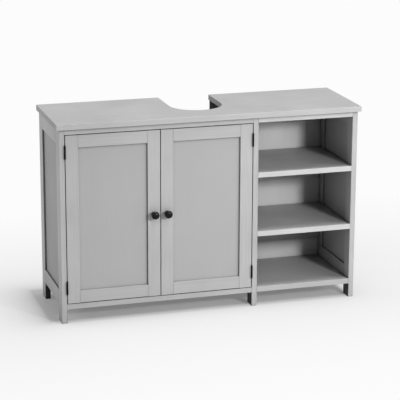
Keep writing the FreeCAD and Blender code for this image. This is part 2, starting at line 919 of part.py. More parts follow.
# Magnetic catches under the sink bay's front rail, which also stop the doors
catch_housings = []
catch_magnets = []
CATCHES = {
    "left": "left_door_left + door_width - catch_from_meeting_edge - catch_length / 2",
    "right": "right_door_left + catch_from_meeting_edge - catch_length / 2",
}
strike_back = "front_face + door_thickness + strike_thickness"
magnet_front = f"{strike_back} + strike_gap"
housing_front = f"{magnet_front} + magnet_proud"
for side, left in CATCHES.items():
    housing = solid(
        "Box",
        (left, housing_front, "bay_ceiling - catch_height"),
        Length="catch_length",
        Width="catch_depth",
        Height="catch_height",
    )
    middle = f"{left} + catch_length / 2"
    magnet_up = "bay_ceiling - catch_height + (catch_height - magnet_height) / 2"
    pocket = solid(
        "Box",
        (f"{middle} - magnet_length / 2 - fit", f"{housing_front} - overrun", f"{magnet_up} - fit"),
        Length="magnet_length + 2 * fit",
        Width="catch_depth - catch_wall + overrun",
        Height="magnet_height + 2 * fit",
    )
    catch_housings.append(without(housing, pocket))
    catch_magnets.append(
        solid(
            "Box",
            (f"{middle} - magnet_length / 2", magnet_front, magnet_up),
            Length="magnet_length",
            Width="magnet_proud + catch_depth - catch_wall",
            Height="magnet_height",
        )
    )
    strike = solid(
        "Box",
        (
            f"{middle} - strike_length / 2",
            "front_face + door_thickness",
            "door_foot + door_height - strike_from_door_top - strike_height",
        ),
        Length="strike_length",
        Width="strike_thickness",
        Height="strike_height",
    )
    keep(strike, f"{side}_door_strike_plate")
group("catch_housings", catch_housings)
group("catch_magnets", catch_magnets)

# Checks, then one file for each piece
doc.recompute()
faults = [f"{o.Name}: {o.State}" for o in doc.Objects if {"Invalid", "Error"} & set(o.State)]
faults += [
    f"{o.Name} is not fully constrained"
    for o in doc.Objects
    if o.TypeId == "Sketcher::SketchObject" and not o.FullyConstrained
]
faults += [
    f"{piece.Label} has no valid shape"
    for piece in pieces
    if piece.Shape.isNull() or not piece.Shape.isValid() or not piece.Shape.Solids
]
if faults:
    raise RuntimeError("; ".join(faults))
os.makedirs("parts", exist_ok=True)
for piece in pieces:
    piece.Shape.exportStep(f"parts/{piece.Label}.step")
    print(f"{piece.Label}: {len(piece.Shape.Solids)} solid(s)")
print(f"{len(pieces)} pieces")
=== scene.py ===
# %% [markdown]
# # An under-sink vanity cabinet, painted and lit
#
# The cabinet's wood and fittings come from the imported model, where every piece already has its real
# size and place. This file gives each piece its finish, turns the knobs, adds the small screws, and
# sets up the studio: a pale floor, soft lamps and a camera. All lengths are metres, and the origin
# lies on the floor under the middle of the cabinet.

# %% Load the frame
import json
import math
import bmesh
import bpy
from mathutils import Matrix, Quaternion, Vector


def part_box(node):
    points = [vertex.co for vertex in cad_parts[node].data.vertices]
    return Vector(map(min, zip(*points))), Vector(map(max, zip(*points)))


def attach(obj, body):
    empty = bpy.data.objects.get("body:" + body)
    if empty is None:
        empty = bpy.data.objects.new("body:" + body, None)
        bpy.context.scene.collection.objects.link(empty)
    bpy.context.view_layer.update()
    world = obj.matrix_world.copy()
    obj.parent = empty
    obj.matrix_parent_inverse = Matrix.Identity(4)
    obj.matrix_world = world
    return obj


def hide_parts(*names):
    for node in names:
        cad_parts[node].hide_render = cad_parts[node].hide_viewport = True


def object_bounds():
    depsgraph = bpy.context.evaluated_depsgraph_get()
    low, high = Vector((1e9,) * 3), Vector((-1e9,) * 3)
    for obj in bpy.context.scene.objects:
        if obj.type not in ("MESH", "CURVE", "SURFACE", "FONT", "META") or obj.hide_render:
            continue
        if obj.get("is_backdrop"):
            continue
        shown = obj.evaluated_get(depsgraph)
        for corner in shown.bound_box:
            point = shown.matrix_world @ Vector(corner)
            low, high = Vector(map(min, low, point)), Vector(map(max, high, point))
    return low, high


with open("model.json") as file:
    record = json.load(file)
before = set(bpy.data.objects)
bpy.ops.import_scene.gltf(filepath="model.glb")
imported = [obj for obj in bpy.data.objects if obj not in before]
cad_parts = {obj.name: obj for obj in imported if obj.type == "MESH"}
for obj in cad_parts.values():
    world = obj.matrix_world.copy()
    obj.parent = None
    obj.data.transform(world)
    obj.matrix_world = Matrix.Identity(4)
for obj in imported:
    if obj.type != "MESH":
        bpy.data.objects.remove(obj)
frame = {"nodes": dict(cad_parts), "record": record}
cad_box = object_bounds()

# %% [markdown]
# ## Camera
#
# The picture was taken from the left and a little above, with a long lens, so the verticals stay
# nearly parallel. The camera is described as a photographer would: where it stands, how far it is
# turned to the right and tipped down, and how long the lens is. A camera looks along its own -Z
# axis, so a turn that points -Z along the line of sight places it.

# %% The photographer's camera
CAMERA_PLACE = Vector((-1.437, -4.770, 1.686))
TURNED_RIGHT = math.radians(16.79)
TIPPED_DOWN = math.radians(15.45)
LEANING = math.radians(0.19)
LENS = 153.5

line_of_sight = Vector(
    (
        math.sin(TURNED_RIGHT) * math.cos(TIPPED_DOWN),
        math.cos(TURNED_RIGHT) * math.cos(TIPPED_DOWN),
        -math.sin(TIPPED_DOWN),
    )
)
level_camera = line_of_sight.to_track_quat("-Z", "Y")
camera = bpy.data.objects.new("camera", bpy.data.cameras.new("camera"))
camera.data.lens = LENS
camera.rotation_mode = "QUATERNION"
camera.rotation_quaternion = level_camera @ Quaternion((0, 0, 1), LEANING)
camera.location = CAMERA_PLACE
bpy.context.scene.collection.objects.link(camera)
bpy.context.scene.camera = camera
print("the camera looks along", tuple(round(part, 3) for part in line_of_sight))

# %% [markdown]
# ## Node helpers
#
# A material is a small network of nodes. Written out call by call, a network hides its own idea, so
# a few helpers do the wiring. `add` makes a node and fills its sockets, from numbers or from other
# nodes' outputs. `calculate` does one step of arithmetic on numbers and `combine` one on vectors,
# and `noise` is the cloudy pattern that every finish here starts from.

# %% Helpers that add nodes
# the Mix node's two colours and its blended colour have no names of their own
MIXED_COLOURS = (6, 7)
MIX_RESULT = 2


def fill(tree, socket, content):
    """Wires another node's output into a socket, or sets the socket's own value."""
    if isinstance(content, bpy.types.NodeSocket):
        tree.links.new(content, socket)
    else:
        socket.default_value = content


def fill_named(tree, node, **inputs):
    """Fills a node's sockets by their names, with _ for a space."""
    for name, content in inputs.items():
        fill(tree, node.inputs[name.replace("_", " ")], content)


def add(tree, kind, settings=None, **inputs):
    """One node, with its settings made and its named sockets filled."""
    node = tree.nodes.new(kind)
    for name, setting in (settings or {}).items():
        setattr(node, name, setting)
    fill_named(tree, node, **inputs)
    return node


def blend(tree, share, first, second):
    """The first colour going over to the second by a share."""
    node = add(tree, "ShaderNodeMix", {"data_type": "RGBA"}, Factor=share)
    for number, colour in zip(MIXED_COLOURS, (first, second)):
        fill(tree, node.inputs[number], colour)
    return node.outputs[MIX_RESULT]


print("helpers:", ", ".join(helper.__name__ for helper in (fill, fill_named, add, blend)))

# %% Helpers for arithmetic, noise and bumps
def calculate(tree, operation, *terms):
    """The result of one step of arithmetic on numbers."""
    node = add(tree, "ShaderNodeMath", {"operation": operation})
    for socket, term in zip(node.inputs, terms):
        fill(tree, socket, term)
    return node.outputs["Value"]


def combine(tree, operation, *vectors):
    """One step of arithmetic on vectors. Gives the outputs Vector and Value."""
    node = add(tree, "ShaderNodeVectorMath", {"operation": operation})
    for socket, vector in zip(node.inputs, vectors):
        fill(tree, socket, vector)
    return node.outputs


def scaled(tree, vector, by):
    """A vector made longer, or a colour made lighter, by a factor."""
    node = add(tree, "ShaderNodeVectorMath", {"operation": "SCALE"}, Scale=by)
    fill(tree, node.inputs[0], vector)
    return node.outputs["Vector"]


def spread(tree, source, low, high, start=0.0, end=1.0):
    """A value that goes from low to high while the source goes from start to end."""
    ranges = {"From_Min": start, "From_Max": end, "To_Min": low, "To_Max": high}
    return add(tree, "ShaderNodeMapRange", Value=source, **ranges).outputs["Result"]


def noise(tree, vector, scale, detail, distortion=0.0):
    """A cloudy pattern from 0 to 1, mostly near a half."""
    sockets = {"Scale": scale, "Detail": detail, "Distortion": distortion}
    return add(tree, "ShaderNodeTexNoise", Vector=vector, **sockets).outputs["Fac"]


def bumped(tree, height, strength, distance):
    """A normal that stands up and down with a height."""
    sockets = {"Height": height, "Strength": strength, "Distance": distance}
    return add(tree, "ShaderNodeBump", **sockets).outputs["Normal"]


MIDDLE_OF_NOISE = 0.5
print("noise is taken to lie about", MIDDLE_OF_NOISE)

# %% Helpers for shared groups
def new_group(name, inputs, outputs):
    """A shader group with named sockets. Gives its tree, what goes in, and its output node."""
    tree = bpy.data.node_groups.new(name, "ShaderNodeTree")
    for direction, sockets in (("INPUT", inputs), ("OUTPUT", outputs)):
        for socket_name, kind in sockets.items():
            tree.interface.new_socket(
                socket_name, in_out=direction, socket_type=f"NodeSocket{kind}"
            )
    return tree, tree.nodes.new("NodeGroupInput").outputs, tree.nodes.new("NodeGroupOutput")


def use_group(tree, group, **inputs):
    """A shared group placed in a material. Gives its outputs."""
    return add(tree, "ShaderNodeGroup", {"node_tree": group}, **inputs).outputs


SURFACE = {"Colour": "Color", "Roughness": "Float", "Height": "Float"}
print("a group for a surface puts out", ", ".join(SURFACE))

# %% Colours as they show on a screen
def grey(level):
    """A neutral colour, from its brightness on a screen of 0 to 255, by the sRGB curve."""
    share = level / 255
    light = share / 12.92 if share <= 0.04045 else ((share + 0.055) / 1.055) ** 2.4
    return (light, light, light, 1.0)


def tint(red, green, blue):
    """A colour from its three brightnesses on a screen of 0 to 255."""
    return (grey(red)[0], grey(green)[0], grey(blue)[0], 1.0)


print("a mid grey on the screen, 188, is", round(grey(188)[0], 3), "of full light")

# %% [markdown]
# ## Shared effect: satin paint
#
# The boards are sprayed with a satin paint over a primed, brushed ground. Up close it has three
# scales: a fine orange peel of about a millimetre, faint streaks along each piece's length where
# the ground was rubbed down, and a slow change in tone over some tens of centimetres. A noise
# texture with its coordinates squeezed along one axis gives the streaks, so the group takes a
# stretch that differs from piece to piece.

# %% The group for satin paint
PEEL_SCALE = 850
STREAK_SCALE = 230
CLOUD_SCALE = 7
PEEL_DETAIL = 1.0
STREAK_DETAIL = 2.0
CLOUD_DETAIL = 2.0
CLOUD_WEIGHT = 2.0
STREAK_WEIGHT = 1.6
GLOSS_BY_TONE = -0.08
STREAK_HEIGHT_SHARE = 0.6

tree, given, leaving = new_group(
    "satin_paint",
    {
        "Vector": "Vector",
        "Stretch": "Vector",
        "Colour": "Color",
        "Variation": "Float",
        "Gloss": "Float",
    },
    SURFACE,
)
stretched = combine(tree, "MULTIPLY", given["Vector"], given["Stretch"])["Vector"]
peel = noise(tree, given["Vector"], PEEL_SCALE, PEEL_DETAIL)
streaks = noise(tree, stretched, STREAK_SCALE, STREAK_DETAIL)
clouds = noise(tree, given["Vector"], CLOUD_SCALE, CLOUD_DETAIL)
slow = calculate(tree, "SUBTRACT", clouds, MIDDLE_OF_NOISE)
fast = calculate(tree, "SUBTRACT", streaks, MIDDLE_OF_NOISE)
weighed = calculate(tree, "MULTIPLY", fast, STREAK_WEIGHT)
uneven = calculate(tree, "MULTIPLY_ADD", slow, CLOUD_WEIGHT, weighed)
tone = calculate(tree, "MULTIPLY_ADD", uneven, given["Variation"], 1.0)
dull = calculate(tree, "MULTIPLY_ADD", uneven, GLOSS_BY_TONE, given["Gloss"])
fine = calculate(tree, "MULTIPLY", peel, 1 - STREAK_HEIGHT_SHARE)
height = calculate(tree, "MULTIPLY_ADD", streaks, STREAK_HEIGHT_SHARE, fine)
painted_colour = scaled(tree, given["Colour"], tone)
fill_named(tree, leaving, Colour=painted_colour, Roughness=dull, Height=height)
satin_paint = tree
print("the orange peel is about", round(1000 / PEEL_SCALE, 1), "mm across")

# %% [markdown]
# ## Shared effect: lighter edges and painted shade in creases
#
# Edges are made a little lighter, partly as thinned, worn paint and partly as a painted highlight,
# and corners and the narrow gaps between boards get painted shade. Two shader nodes can find such
# places on any mesh: Bevel turns the normal near an edge, so the difference from the true normal
# marks the edge, and Ambient Occlusion measures how shut in a point is. Raised to a power, that
# measure leaves open corners almost alone and darkens gaps with painted shade. It is used twice: with
# a reach of under a centimetre for gaps and with a longer one for deep corners.
#
# The key light comes from the front, the right and above, so the painted shade is laid dark under a
# recess's top edge and by its right edge, while the ledge below stays light. The measure follows that
# when it looks along a normal leaned towards the light. On a face turned away from the light the
# normal leans away from it, or it would only see the face's own board. All of it looks only at the
# shape, so the painted shade stays in place when the camera moves.

# %% The group for lighter edges and painted shade
EDGE_SHARPNESS = 3.2
POWERS = {"Crease": 1.5, "Corner": 2.3}
# where the key light comes from; the painted shade is measured looking towards it
LIGHT_COMES_FROM = (0.6, -0.5, 0.8)
FURTHEST_LEAN = 0.8
FEW_SAMPLES = {"samples": 4}

tree, given, leaving = new_group(
    "edges_and_painted_shade",
    {"Edge Width": "Float", "Crease Reach": "Float", "Corner Reach": "Float"},
    {"Edge": "Float", "Crease": "Float", "Corner": "Float"},
)
normal = tree.nodes.new("ShaderNodeNewGeometry").outputs["Normal"]
rounded = add(tree, "ShaderNodeBevel", FEW_SAMPLES, Radius=given["Edge Width"]).outputs["Normal"]
bend = calculate(tree, "SUBTRACT", 1.0, combine(tree, "DOT_PRODUCT", rounded, normal)["Value"])
edge = spread(tree, calculate(tree, "MULTIPLY", bend, EDGE_SHARPNESS), 0.0, 1.0)

toward_light = combine(tree, "DOT_PRODUCT", normal, LIGHT_COMES_FROM)["Value"]
how_far = spread(tree, toward_light, 0.0, 1.0, -FURTHEST_LEAN, FURTHEST_LEAN)
leaned = combine(tree, "ADD", normal, scaled(tree, LIGHT_COMES_FROM, how_far))["Vector"]
looking = combine(tree, "NORMALIZE", leaned)["Vector"]
shut_in = {}
for reach, power in POWERS.items():
    sky = {"Distance": given[f"{reach} Reach"], "Normal": looking}
    open_sky = add(tree, "ShaderNodeAmbientOcclusion", FEW_SAMPLES, **sky).outputs["AO"]
    closed = calculate(tree, "SUBTRACT", 1.0, open_sky)
    shut_in[reach] = calculate(tree, "POWER", closed, power)
fill_named(tree, leaving, Edge=edge, **shut_in)
edges_and_painted_shade = tree
print("edges and creases are found on any mesh")

# %% [markdown]
# ## Shared effect: wood grain
#
# The loose tenons are planed beech, never painted. Grain is a ripple across the board that runs on
# along it, broken by short dark flecks. Two noises stretched along the piece give them, a wide one
# for the rings and a fine one for the flecks.

# %% The group for wood grain
RING_SCALE = 160
RING_DETAIL = 3.0
RING_EDGES = (0.35, 0.65)
FLECK_SCALE = 900
FLECK_DETAIL = 1.0
FLECK_EDGES = (0.6, 0.75)
FLECK_DEPTH = 0.5

tree, given, leaving = new_group(
    "wood_grain",
    {"Vector": "Vector", "Stretch": "Vector", "Early Wood": "Color", "Late Wood": "Color"},
    {"Colour": "Color", "Height": "Float"},
)
stretched = combine(tree, "MULTIPLY", given["Vector"], given["Stretch"])["Vector"]
rings = noise(tree, stretched, RING_SCALE, RING_DETAIL)
flecks = noise(tree, stretched, FLECK_SCALE, FLECK_DETAIL)
late = spread(tree, rings, 0.0, 1.0, *RING_EDGES)
darkening = spread(tree, flecks, 0.0, FLECK_DEPTH, *FLECK_EDGES)
ringed = blend(tree, late, given["Early Wood"], given["Late Wood"])
flecked = scaled(tree, ringed, calculate(tree, "SUBTRACT", 1.0, darkening))
fill_named(tree, leaving, Colour=flecked, Height=late)
wood_grain = tree
print("grain repeats about every", round(1000 / RING_SCALE, 1), "mm across")

# %% [markdown]
# ## Shared effect: worked metal and moulded plastic
#
# Hinges, knobs, screws and catches are small, so their surfaces show only a fine speckle and a few
# handling marks, which are a little rougher or smoother than the rest. One group makes both, with
# the speckle's size, its strength and the marks' strength given by each material.

# %% The group for small fittings
SPECKLE_DETAIL = 2.0
MARK_SCALE = 260
MARK_DETAIL = 4.0
MARK_DISTORTION = 1.5
MARK_EDGES = (0.4, 0.7)
MARKS_ROUGHEN = (-0.06, 0.1)

tree, given, leaving = new_group(
    "handled_surface",
    {
        "Vector": "Vector",
        "Speckle": "Float",
        "Colour": "Color",
        "Variation": "Float",
        "Gloss": "Float",
        "Handling": "Float",
    },
    SURFACE,
)
speckle = noise(tree, given["Vector"], given["Speckle"], SPECKLE_DETAIL)
marks = noise(tree, given["Vector"], MARK_SCALE, MARK_DETAIL, MARK_DISTORTION)
lighter = calculate(tree, "SUBTRACT", speckle, MIDDLE_OF_NOISE)
tone = calculate(tree, "MULTIPLY_ADD", lighter, given["Variation"], 1.0)
rubbed = spread(tree, marks, *MARKS_ROUGHEN, *MARK_EDGES)
roughness = calculate(tree, "MULTIPLY_ADD", rubbed, given["Handling"], given["Gloss"])
speckled = scaled(tree, given["Colour"], tone)
fill_named(tree, leaving, Colour=speckled, Roughness=roughness, Height=speckle)
handled_surface = tree
print("handling marks are about", round(1000 / MARK_SCALE, 1), "mm long")

# %% [markdown]
# ## Materials for the painted boards
#
# One paint covers the whole cabinet, but the boards differ. Uprights and rails were rubbed down along
# their own length, and panels are thinner, smoother sheets. The faces of the shelves are a darker
# grey, painted shade, and the shelves and the top carry a lighter front edge, a painted highlight, so
# the one paint shows as lit and shaded copies. The feet, which are the posts' ends under the bottom
# boards, keep the paint only where they face outward, and their inner sides are a dark grey of
# painted shade, the shade under the cabinet. The left side's sheet has a darker grey of its own, and
# the rail over the shelves a lighter one, painted light against the shade under the top.

# %% The paint's greys
PAINT = grey(191)
TOP_PAINT = grey(172)
# the top's lighter front edge is a painted highlight
TOP_LIT_FRONT = grey(193)
# the shelves' darker faces are painted shade
SHELF_SHADED_PAINT = grey(182)
PANEL_PAINT = grey(183)
SIDE_PANEL_PAINT = grey(167)
# the rail's lighter grey is painted light against the shade under the top
SHELF_RAIL_LIT_PAINT = grey(204)
BACK_PAINT = grey(224)
# the shelves' lighter front edges are a painted highlight
LIT_FRONT_PAINT = grey(210)
# the feet's dark inner sides are painted shade, the shade under the cabinet
FOOT_SHADE = grey(82)
print("the paint reflects", round(PAINT[0], 2), "of the light")

# %% Masks for a front edge with a painted highlight and a foot with painted shade
FACES_OUT_FROM = 0.5


def below(tree, place, axis, limit):
    """1 where a place lies below a limit on one axis, else 0."""
    parted = add(tree, "ShaderNodeSeparateXYZ", Vector=place).outputs
    return calculate(tree, "LESS_THAN", parted[axis], limit)


def with_lit_front(tree, place, colour, highest_y, lit_front_colour):
    """A board's colour, with a lighter one on its front edge up to the highest Y, a painted
    highlight.
    """
    return blend(tree, below(tree, place, "Y", highest_y), colour, lit_front_colour)


def with_foot_shade(tree, place, colour, highest_z, outward, shade_colour):
    """A post's colour, with a dark grey of painted shade up to the highest Z on the sides that don't
    face outward.
    """
    normal = tree.nodes.new("ShaderNodeNewGeometry").outputs["Normal"]
    facing_out = combine(tree, "DOT_PRODUCT", normal, outward)["Value"]
    hidden = calculate(tree, "LESS_THAN", facing_out, FACES_OUT_FROM)
    in_shade = calculate(tree, "MULTIPLY", below(tree, place, "Z", highest_z), hidden)
    return blend(tree, in_shade, colour, shade_colour)


print("a foot's side is painted where it faces outward by more than", FACES_OUT_FROM)

# %% [markdown]
# A function makes a painted material from those few facts. The paint's colour, its lighter edges,
# which are partly worn paint and partly a painted highlight, and the painted shade in its creases and
# corners are mixed first, and the shader gets the result.

# %% A function that makes a painted material
SQUEEZED = 0.035
STRETCHES = {
    "x": (SQUEEZED, 1.0, 1.0),
    "y": (1.0, SQUEEZED, 1.0),
    "z": (1.0, 1.0, SQUEEZED),
}
REACHES = {"Edge_Width": 0.0012, "Crease_Reach": 0.008, "Corner_Reach": 0.150}
FRAME_UNEVENNESS = 0.11
PANEL_UNEVENNESS = 0.035
BACK_UNEVENNESS = 0.045
PAINT_GLOSS = 0.5
# edges are lighter, partly as thinned, worn paint and partly as a painted highlight
EDGE_LIFT = 0.10
# how far the painted shade darkens creases and corners
SHADE_DEPTHS = {"Crease": 0.96, "Corner": 1.05}
PAINT_SHINE = 0.22
PAINT_BUMP_STRENGTH = 0.25
PAINT_BUMP_HEIGHT = 0.00015


def new_material(name):
    """An empty material. Gives it, its tree and its shader."""
    material = bpy.data.materials.new(name)
    material.use_nodes = True
    return material, material.node_tree, material.node_tree.nodes["Principled BSDF"]


def painted(
    name, colour, along, uneven=FRAME_UNEVENNESS, gloss=PAINT_GLOSS, lit_front=None, shaded=None
):
    """Satin paint with streaks along one axis. Uneven is how far the streaks change its tone.

    Lit_front is (highest Y, colour) for a front edge with a painted highlight. Shaded is (highest Z,
    outward, colour) for a foot's painted shade.
    """
    material, tree, shader = new_material(name)
    place = tree.nodes.new("ShaderNodeTexCoord").outputs["Object"]
    if lit_front:
        colour = with_lit_front(tree, place, colour, *lit_front)
    if shaded:
        colour = with_foot_shade(tree, place, colour, *shaded)
    streaked = {"Stretch": STRETCHES[along], "Variation": uneven, "Gloss": gloss}
    paint = use_group(tree, satin_paint, Vector=place, Colour=colour, **streaked)
    # the lighter edges and the painted shade of creases and corners
    wear_and_shade = use_group(tree, edges_and_painted_shade, **REACHES)
    tone = calculate(tree, "MULTIPLY_ADD", wear_and_shade["Edge"], EDGE_LIFT, 1.0)
    for hollow, depth in SHADE_DEPTHS.items():
        kept = calculate(tree, "MULTIPLY_ADD", wear_and_shade[hollow], -depth, 1.0)
        tone = calculate(tree, "MULTIPLY", tone, kept)
    fill_named(
        tree,
        shader,
        Base_Color=scaled(tree, paint["Colour"], tone),
        Roughness=paint["Roughness"],
        Specular_IOR_Level=PAINT_SHINE,
        Normal=bumped(tree, paint["Height"], PAINT_BUMP_STRENGTH, PAINT_BUMP_HEIGHT),
    )
    return material


# the darkening in corners is painted shade
print("paint gathers in corners up to", round(REACHES["Corner_Reach"] * 1000), "mm away")

# %% [markdown]
# ## Metal, plastic and bare wood
#
# The hinges and their screws are steel with a satin black coat, and the knobs are turned and
# lacquered a glossy black. A black coat shows its shape only by its reflections, so its gloss
# matters more than its colour. The catches are moulded in off-white plastic round a dull ferrite
# magnet, and their screws and strike plates are zinc plated.

# %% Functions for the fittings and the tenons
SPECKLES = {"Speckle": 1500.0, "Variation": 0.12}
FITTING_BUMP_STRENGTH = 0.3
BEECH_GLOSS = 0.62
BEECH_BUMP_HEIGHT = 0.0001
EARLY_BEECH = tint(222, 188, 148)
LATE_BEECH = tint(196, 154, 112)


def fitting(name, colour, gloss, metallic=0.0, shine=0.5, bump=0.00002, handling=1.0):
    """A small hard surface with a fine speckle and rubbed places.

    Shine is its mirror strength, and handling is how far rubbing changes its gloss.
    """
    material, tree, shader = new_material(name)
    place = tree.nodes.new("ShaderNodeTexCoord").outputs["Object"]
    coat = {"Colour": colour, "Gloss": gloss, "Handling": handling}
    surface = use_group(tree, handled_surface, Vector=place, **coat, **SPECKLES)
    fill_named(
        tree,
        shader,
        Base_Color=surface["Colour"],
        Roughness=surface["Roughness"],
        Metallic=metallic,
        Specular_IOR_Level=shine,
        Normal=bumped(tree, surface["Height"], FITTING_BUMP_STRENGTH, bump),
    )
    return material


def bare_beech(name, along):
    """Planed beech with its grain along one axis."""
    material, tree, shader = new_material(name)
    place = tree.nodes.new("ShaderNodeTexCoord").outputs["Object"]
    beech = {"Early_Wood": EARLY_BEECH, "Late_Wood": LATE_BEECH}
    grain = use_group(tree, wood_grain, Vector=place, Stretch=STRETCHES[along], **beech)
    fill_named(
        tree,
        shader,
        Base_Color=grain["Colour"],
        Roughness=BEECH_GLOSS,
        Normal=bumped(tree, grain["Height"], FITTING_BUMP_STRENGTH, BEECH_BUMP_HEIGHT),
    )
    return material


print("beech has a roughness of", BEECH_GLOSS)

# %% [markdown]
# ## Finishes by slot
#
# The record gives each piece a slot, such as painted_door or black_steel. A piece's longest side
# tells which way its streaks run, so most pieces need no list: the loop reads the slot, measures
# the box, and makes each finish once. Only the boards, posts and sheets that were named above get a
# material of their own.

# %% Which way a piece runs
def longest_side(name):
    """The axis along which a piece is longest."""
    low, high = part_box(name)
    sides = dict(zip("xyz", high - low))
    return max(sides, key=sides.get)


slots = {part["node"]: part["material_slot"] for part in frame["record"]["subparts"]}
running = {name: longest_side(name) for name in slots}
for axis in "xyz":
    print(list(running.values()).count(axis), "pieces run along", axis)

# %% A finish for each slot
# painted slot, its colour, how uneven its paint is
PAINTS = {
    "painted_frame": (PAINT, FRAME_UNEVENNESS),
    "painted_door": (PAINT, FRAME_UNEVENNESS),
    "painted_panel": (PANEL_PAINT, PANEL_UNEVENNESS),
    "painted_back": (BACK_PAINT, BACK_UNEVENNESS),
}
# slot of a fitting, its colour, its gloss, and what else it has of its own
FITTINGS = {
    "black_steel": (grey(4), 0.36, {"shine": 0.06}),
    "black_knob": (grey(2), 0.07, {"shine": 0.2, "bump": 0.000002, "handling": 0.4}),
    "zinc_steel": (tint(196, 198, 202), 0.32, {"metallic": 1.0}),
    "catch_plastic": (tint(226, 226, 222), 0.48, {"bump": 0.00004}),
    "magnet": (tint(70, 70, 74), 0.6, {"metallic": 0.4}),
}


def finish(slot, name, along="z"):
    """A new material for a slot, with its streaks or its grain along one axis."""
    if slot in PAINTS:
        colour, unevenness = PAINTS[slot]
        return painted(name, colour, along, unevenness)
    if slot in FITTINGS:
        colour, gloss, more = FITTINGS[slot]
        return fitting(name, colour, gloss, **more)
    return bare_beech(name, along)


print(len(PAINTS), "painted slots and", len(FITTINGS), "slots of fittings")

# %% Boards, posts and sheets with a material of their own
# board, the paint on its faces, the paint on its front edge; the shelves' faces are painted shade and
# the lighter front edges a painted highlight
LIT_FRONT_BOARDS = {
    "top_board": (TOP_PAINT, TOP_LIT_FRONT),
    "upper_shelf": (SHELF_SHADED_PAINT, LIT_FRONT_PAINT),
    "lower_shelf": (SHELF_SHADED_PAINT, LIT_FRONT_PAINT),
    "shelf_bay_bottom": (SHELF_SHADED_PAINT, PAINT),
}
# post, and the ways that its foot's painted sides face; its other sides get painted shade
POSTS = {
    "left_front_post": (-1.0, -1.0, 0.0),
    "left_rear_post": (-1.0, 1.0, 0.0),
    "divider_front_post": (0.0, -1.0, 0.0),
    "divider_rear_post": (0.0, 1.0, 0.0),
    "right_front_post": (1.0, -1.0, 0.0),
    "right_rear_post": (1.0, 1.0, 0.0),
}
# piece with a grey of its own, its paint and how uneven that is; the rail's lighter grey is painted
# light against the shade under the top
OWN_GREY = {
    "left_side_panel": (SIDE_PANEL_PAINT, PANEL_UNEVENNESS),
    "shelf_bay_front_rail": (SHELF_RAIL_LIT_PAINT, FRAME_UNEVENNESS),
}
BEHIND_AN_EDGE = 0.0006
BOARD_GLOSS = 0.55
TOP_OF_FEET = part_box("sink_bay_bottom")[0].z


def own_finish(key, name):
    """The material of a piece that is in one of the three tables."""
    along = running[name]
    if name in POSTS:
        return painted(key, PAINT, along, shaded=(TOP_OF_FEET, POSTS[name], FOOT_SHADE))
    if name in OWN_GREY:
        return painted(key, OWN_GREY[name][0], along, OWN_GREY[name][1])
    paint, front_lit_paint = LIT_FRONT_BOARDS[name]
    front_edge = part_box(name)[0].y + BEHIND_AN_EDGE
    return painted(key, paint, along, gloss=BOARD_GLOSS, lit_front=(front_edge, front_lit_paint))


print("feet are primed up to", round(TOP_OF_FEET * 1000), "mm")

# %% Give every piece its finish
made = {}
for name, slot in slots.items():
    if name in POSTS or name in OWN_GREY or name in LIT_FRONT_BOARDS:
        key = f"{slot}_{name}"
        made[key] = own_finish(key, name)
    else:
        key = f"{slot}_{running[name]}"
        if key not in made:
            made[key] = finish(slot, key, running[name])
    node = frame["nodes"][name]
    node.data.materials.clear()
    node.data.materials.append(made[key])
print(len(made), "materials on", len(slots), "pieces")

# %% [markdown]
# ## Knobs
#
# Each knob is turned on a lathe, so its form is one outline spun round an axis. The outline below
# has a corner wherever the turner changed direction, and each corner is then rounded by its own
# amount with a vertex bevel: the foot only breaks its edge, and the neck runs into the head in a
# soft hollow. The crown is a shallow part of a ball, since one small, clear reflection of the key
# lamp has to lie on it. The knob takes the place of the frame's plainer one and never passes its
# reach or width.

# %% A knob's outline
MILLIMETRE = 0.001
KNOB_REACH = 25.0
CROWN_RADIUS = 17.0
CROWN_STEPS = 14
CROWN_TURN = math.radians(36)
# radius, distance from the door's face, rounding
KNOB_OUTLINE = [
    (0.0, 0.0, 0.0),
    (7.8, 0.0, 0.0),
    (7.8, 1.7, 0.5),
    (4.6, 4.2, 1.6),
    (4.6, 10.2, 2.4),
    (10.6, 13.6, 1.2),
    (11.8, 16.2, 1.2),
    (11.8, 19.2, 1.4),
]
for step in range(CROWN_STEPS + 1):
    turn = CROWN_TURN * (1 - step / CROWN_STEPS)
    below_the_top = CROWN_RADIUS * (1 - math.cos(turn))
    KNOB_OUTLINE.append((CROWN_RADIUS * math.sin(turn), KNOB_REACH - below_the_top, 0.0))
print("the knob's outline has", len(KNOB_OUTLINE), "corners")

# %% Helpers that shape and finish a piece
ROUNDING_STEPS = 8
TURNING_STEPS = 64
MERGED_WITHIN = 0.01


def rounded_outline(built, outline):
    """A chain of edges in the XZ plane, with each corner rounded by its own amount."""
    corners = [
        built.verts.new((radius * MILLIMETRE, 0.0, reach * MILLIMETRE))
        for radius, reach, _ in outline
    ]
    for start, end in zip(corners, corners[1:]):
        built.edges.new((start, end))
    for corner, (_, _, rounding) in zip(corners, outline):
        if rounding:
            bmesh.ops.bevel(
                built,
                geom=[corner],
                offset=rounding * MILLIMETRE,
                segments=ROUNDING_STEPS,
                profile=0.5,
                affect="VERTICES",
                material=-1,
            )


def spun(built, steps):
    """Spins the outline a full turn round Z and closes it where it meets the axis."""
    outline = built.verts[:] + built.edges[:]
    bmesh.ops.spin(
        built,
        geom=outline,
        cent=(0, 0, 0),
        axis=(0, 0, 1),
        angle=2 * math.pi,
        steps=steps,
        use_merge=True,
    )
    bmesh.ops.remove_doubles(built, verts=built.verts, dist=MERGED_WITHIN * MILLIMETRE)
    for face in built.faces:
        face.smooth = True


